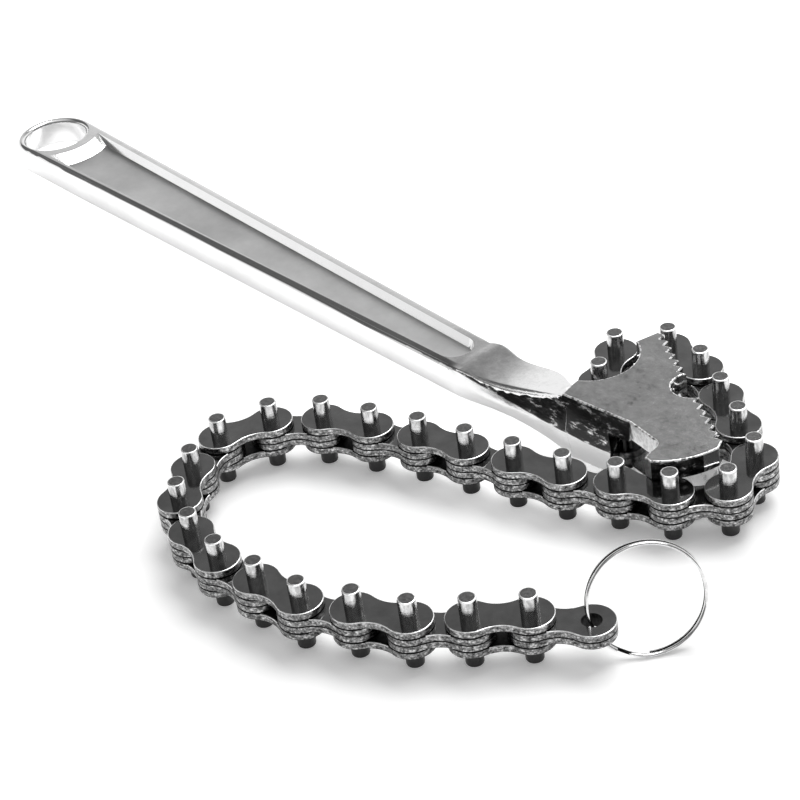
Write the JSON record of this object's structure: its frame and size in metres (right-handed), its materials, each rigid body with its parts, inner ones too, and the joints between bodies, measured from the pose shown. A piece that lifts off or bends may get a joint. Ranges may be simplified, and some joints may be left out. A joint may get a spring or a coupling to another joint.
{
  "type": "chain pipe wrench",
  "caption": "Chain pipe wrench with a one-piece forged handle and toothed jaw head, a long flat-link chain anchored in the head's slit, and a wire ring on the chain's free end.",
  "frame": {"origin": "centre of the handle's hanging hole, on the tool's middle plane", "axes": "+X along the handle towards the jaw head, +Y across the handle towards the toothed side, +Z along the hanging hole and the chain pins, up when the tool lies flat"},
  "size_m": [0.3782, 0.1677, 0.0318],
  "materials": {
    "chrome": "satin",
    "plate_steel": "oiled",
    "pin_steel": "polished",
    "ring_nickel": "polished"
  },
  "bodies": {
    "wrench": {"handle_forging": "chrome", "anchor_pin": "pin_steel"},
    "inner_link_01": {"chain_inner_plates_01": "plate_steel"},
    "outer_link_01": {"chain_outer_plates_01": "plate_steel", "chain_pins_01": "pin_steel"},
    "inner_link_02": {"chain_inner_plates_02": "plate_steel"},
    "outer_link_02": {"chain_outer_plates_02": "plate_steel", "chain_pins_02": "pin_steel"},
    "inner_link_03": {"chain_inner_plates_03": "plate_steel"},
    "outer_link_03": {"chain_outer_plates_03": "plate_steel", "chain_pins_03": "pin_steel"},
    "inner_link_04": {"chain_inner_plates_04": "plate_steel"},
    "outer_link_04": {"chain_outer_plates_04": "plate_steel", "chain_pins_04": "pin_steel"},
    "inner_link_05": {"chain_inner_plates_05": "plate_steel"},
    "outer_link_05": {"chain_outer_plates_05": "plate_steel", "chain_pins_05": "pin_steel"},
    "inner_link_06": {"chain_inner_plates_06": "plate_steel"},
    "outer_link_06": {"chain_outer_plates_06": "plate_steel", "chain_pins_06": "pin_steel"},
    "inner_link_07": {"chain_inner_plates_07": "plate_steel"},
    "outer_link_07": {"chain_outer_plates_07": "plate_steel", "chain_pins_07": "pin_steel"},
    "inner_link_08": {"chain_inner_plates_08": "plate_steel"},
    "outer_link_08": {"chain_outer_plates_08": "plate_steel", "chain_pins_08": "pin_steel"},
    "inner_link_09": {"chain_inner_plates_09": "plate_steel"},
    "outer_link_09": {"chain_outer_plates_09": "plate_steel", "chain_pins_09": "pin_steel"},
    "inner_link_10": {"chain_inner_plates_10": "plate_steel"},
    "outer_link_10": {"chain_outer_plates_10": "plate_steel", "chain_pins_10": "pin_steel"},
    "inner_link_11": {"chain_inner_plates_11": "plate_steel"},
    "outer_link_11": {"chain_outer_plates_11": "plate_steel", "chain_pins_11": "pin_steel"},
    "inner_link_12": {"chain_inner_plates_12": "plate_steel"},
    "outer_link_12": {"chain_outer_plates_12": "plate_steel", "chain_pins_12": "pin_steel"},
    "inner_link_13": {"chain_inner_plates_13": "plate_steel"},
    "outer_link_13": {"chain_outer_plates_13": "plate_steel", "chain_pins_13": "pin_steel"},
    "inner_link_14": {"chain_inner_plates_14": "plate_steel"},
    "outer_link_14": {"chain_outer_plates_14": "plate_steel", "chain_pins_14": "pin_steel"},
    "inner_link_15": {"chain_inner_plates_15": "plate_steel"},
    "ring": {"key_ring": "ring_nickel"}
  },
  "joints": [
    {"name": "anchor_hinge", "type": "hinge", "parent": "wrench", "child": "inner_link_01", "pos_m": [0.2868, 0.0105, 0], "axis": [0, 0, 1], "range_deg": [-14, 5]},
    {"name": "link_hinge_01", "type": "hinge", "parent": "inner_link_01", "child": "outer_link_01", "pos_m": [0.27198, 0.01619, 0], "axis": [0, 0, -1], "range_deg": [-5, 8]},
    {"name": "link_hinge_02", "type": "hinge", "parent": "outer_link_01", "child": "inner_link_02", "pos_m": [0.26453, 0.0302, 0], "axis": [0, 0, 1], "range_deg": [-4, 4]},
    {"name": "link_hinge_03", "type": "hinge", "parent": "inner_link_02", "child": "outer_link_02", "pos_m": [0.27473, 0.04236, 0], "axis": [0, 0, 1], "range_deg": [-5, 5]},
    {"name": "link_hinge_04", "type": "hinge", "parent": "outer_link_02", "child": "inner_link_03", "pos_m": [0.29041, 0.03988, 0], "axis": [0, 0, 1], "range_deg": [-7, 7]},
    {"name": "link_hinge_05", "type": "hinge", "parent": "inner_link_03", "child": "outer_link_03", "pos_m": [0.3048, 0.03317, 0], "axis": [0, 0, -1], "range_deg": [-79, 7]},
    {"name": "link_hinge_06", "type": "hinge", "parent": "outer_link_03", "child": "inner_link_04", "pos_m": [0.31868, 0.02548, 0], "axis": [0, 0, 1], "range_deg": [-5, 77]},
    {"name": "link_hinge_07", "type": "hinge", "parent": "inner_link_04", "child": "outer_link_04", "pos_m": [0.33229, 0.0173, 0], "axis": [0, 0, 1], "range_deg": [-4, 118]},
    {"name": "link_hinge_08", "type": "hinge", "parent": "outer_link_04", "child": "inner_link_05", "pos_m": [0.33667, 0.00204, 0], "axis": [0, 0, -1], "range_deg": [-134, 7]},
    {"name": "link_hinge_09", "type": "hinge", "parent": "inner_link_05", "child": "outer_link_05", "pos_m": [0.32584, -0.00957, 0], "axis": [0, 0, -1], "range_deg": [-99, 16]},
    {"name": "link_hinge_10", "type": "hinge", "parent": "outer_link_05", "child": "inner_link_06", "pos_m": [0.31123, -0.01577, 0], "axis": [0, 0, 1], "range_deg": [-19, 73]},
    {"name": "link_hinge_11", "type": "hinge", "parent": "inner_link_06", "child": "outer_link_06", "pos_m": [0.29684, -0.02248, 0], "axis": [0, 0, -1], "range_deg": [-60, 24]},
    {"name": "link_hinge_12", "type": "hinge", "parent": "outer_link_06", "child": "inner_link_07", "pos_m": [0.28183, -0.02765, 0], "axis": [0, 0, -1], "range_deg": [-40, 30]},
    {"name": "link_hinge_13", "type": "hinge", "parent": "inner_link_07", "child": "outer_link_07", "pos_m": [0.26665, -0.03229, 0], "axis": [0, 0, 1], "range_deg": [-41, 30]},
    {"name": "link_hinge_14", "type": "hinge", "parent": "outer_link_07", "child": "inner_link_08", "pos_m": [0.25155, -0.0372, 0], "axis": [0, 0, -1], "range_deg": [-24, 56]},
    {"name": "link_hinge_15", "type": "hinge", "parent": "inner_link_08", "child": "outer_link_08", "pos_m": [0.23694, -0.0434, 0], "axis": [0, 0, 1], "range_deg": [-77, 20]},
    {"name": "link_hinge_16", "type": "hinge", "parent": "outer_link_08", "child": "inner_link_09", "pos_m": [0.22255, -0.05011, 0], "axis": [0, 0, -1], "range_deg": [-17, 95]},
    {"name": "link_hinge_17", "type": "hinge", "parent": "inner_link_09", "child": "outer_link_09", "pos_m": [0.21132, -0.06134, 0], "axis": [0, 0, -1], "range_deg": [-15, 101]},
    {"name": "link_hinge_18", "type": "hinge", "parent": "outer_link_09", "child": "inner_link_10", "pos_m": [0.20616, -0.07635, 0], "axis": [0, 0, 1], "range_deg": [-117, 13]},
    {"name": "link_hinge_19", "type": "hinge", "parent": "inner_link_10", "child": "outer_link_10", "pos_m": [0.21236, -0.09096, 0], "axis": [0, 0, 1], "range_deg": [-92, 13]},
    {"name": "link_hinge_20", "type": "hinge", "parent": "outer_link_10", "child": "inner_link_11", "pos_m": [0.22256, -0.10312, 0], "axis": [0, 0, -1], "range_deg": [-13, 101]},
    {"name": "link_hinge_21", "type": "hinge", "parent": "inner_link_11", "child": "outer_link_11", "pos_m": [0.23707, -0.10958, 0], "axis": [0, 0, 1], "range_deg": [-90, 13]},
    {"name": "link_hinge_22", "type": "hinge", "parent": "outer_link_11", "child": "inner_link_12", "pos_m": [0.25275, -0.11206, 0], "axis": [0, 0, -1], "range_deg": [-14, 90]},
    {"name": "link_hinge_23", "type": "hinge", "parent": "inner_link_12", "child": "outer_link_12", "pos_m": [0.26853, -0.1104, 0], "axis": [0, 0, 1], "range_deg": [-78, 16]},
    {"name": "link_hinge_24", "type": "hinge", "parent": "outer_link_12", "child": "inner_link_13", "pos_m": [0.28421, -0.10792, 0], "axis": [0, 0, -1], "range_deg": [-18, 94]},
    {"name": "link_hinge_25", "type": "hinge", "parent": "inner_link_13", "child": "outer_link_13", "pos_m": [0.29823, -0.10046, 0], "axis": [0, 0, 1], "range_deg": [-74, 22]},
    {"name": "link_hinge_26", "type": "hinge", "parent": "outer_link_13", "child": "inner_link_14", "pos_m": [0.31237, -0.09326, 0], "axis": [0, 0, -1], "range_deg": [-28, 91]},
    {"name": "link_hinge_27", "type": "hinge", "parent": "inner_link_14", "child": "outer_link_14", "pos_m": [0.32398, -0.08243, 0], "axis": [0, 0, -1], "range_deg": [-41, 79]},
    {"name": "link_hinge_28", "type": "hinge", "parent": "outer_link_14", "child": "inner_link_15", "pos_m": [0.33481, -0.07082, 0], "axis": [0, 0, 1], "range_deg": [-68, 82]},
    {"name": "ring_hinge", "type": "hinge", "parent": "inner_link_15", "child": "ring", "pos_m": [0.34697, -0.06062, 0], "axis": [0, 0, -1], "range_deg": [-116, 124]}
  ]
}
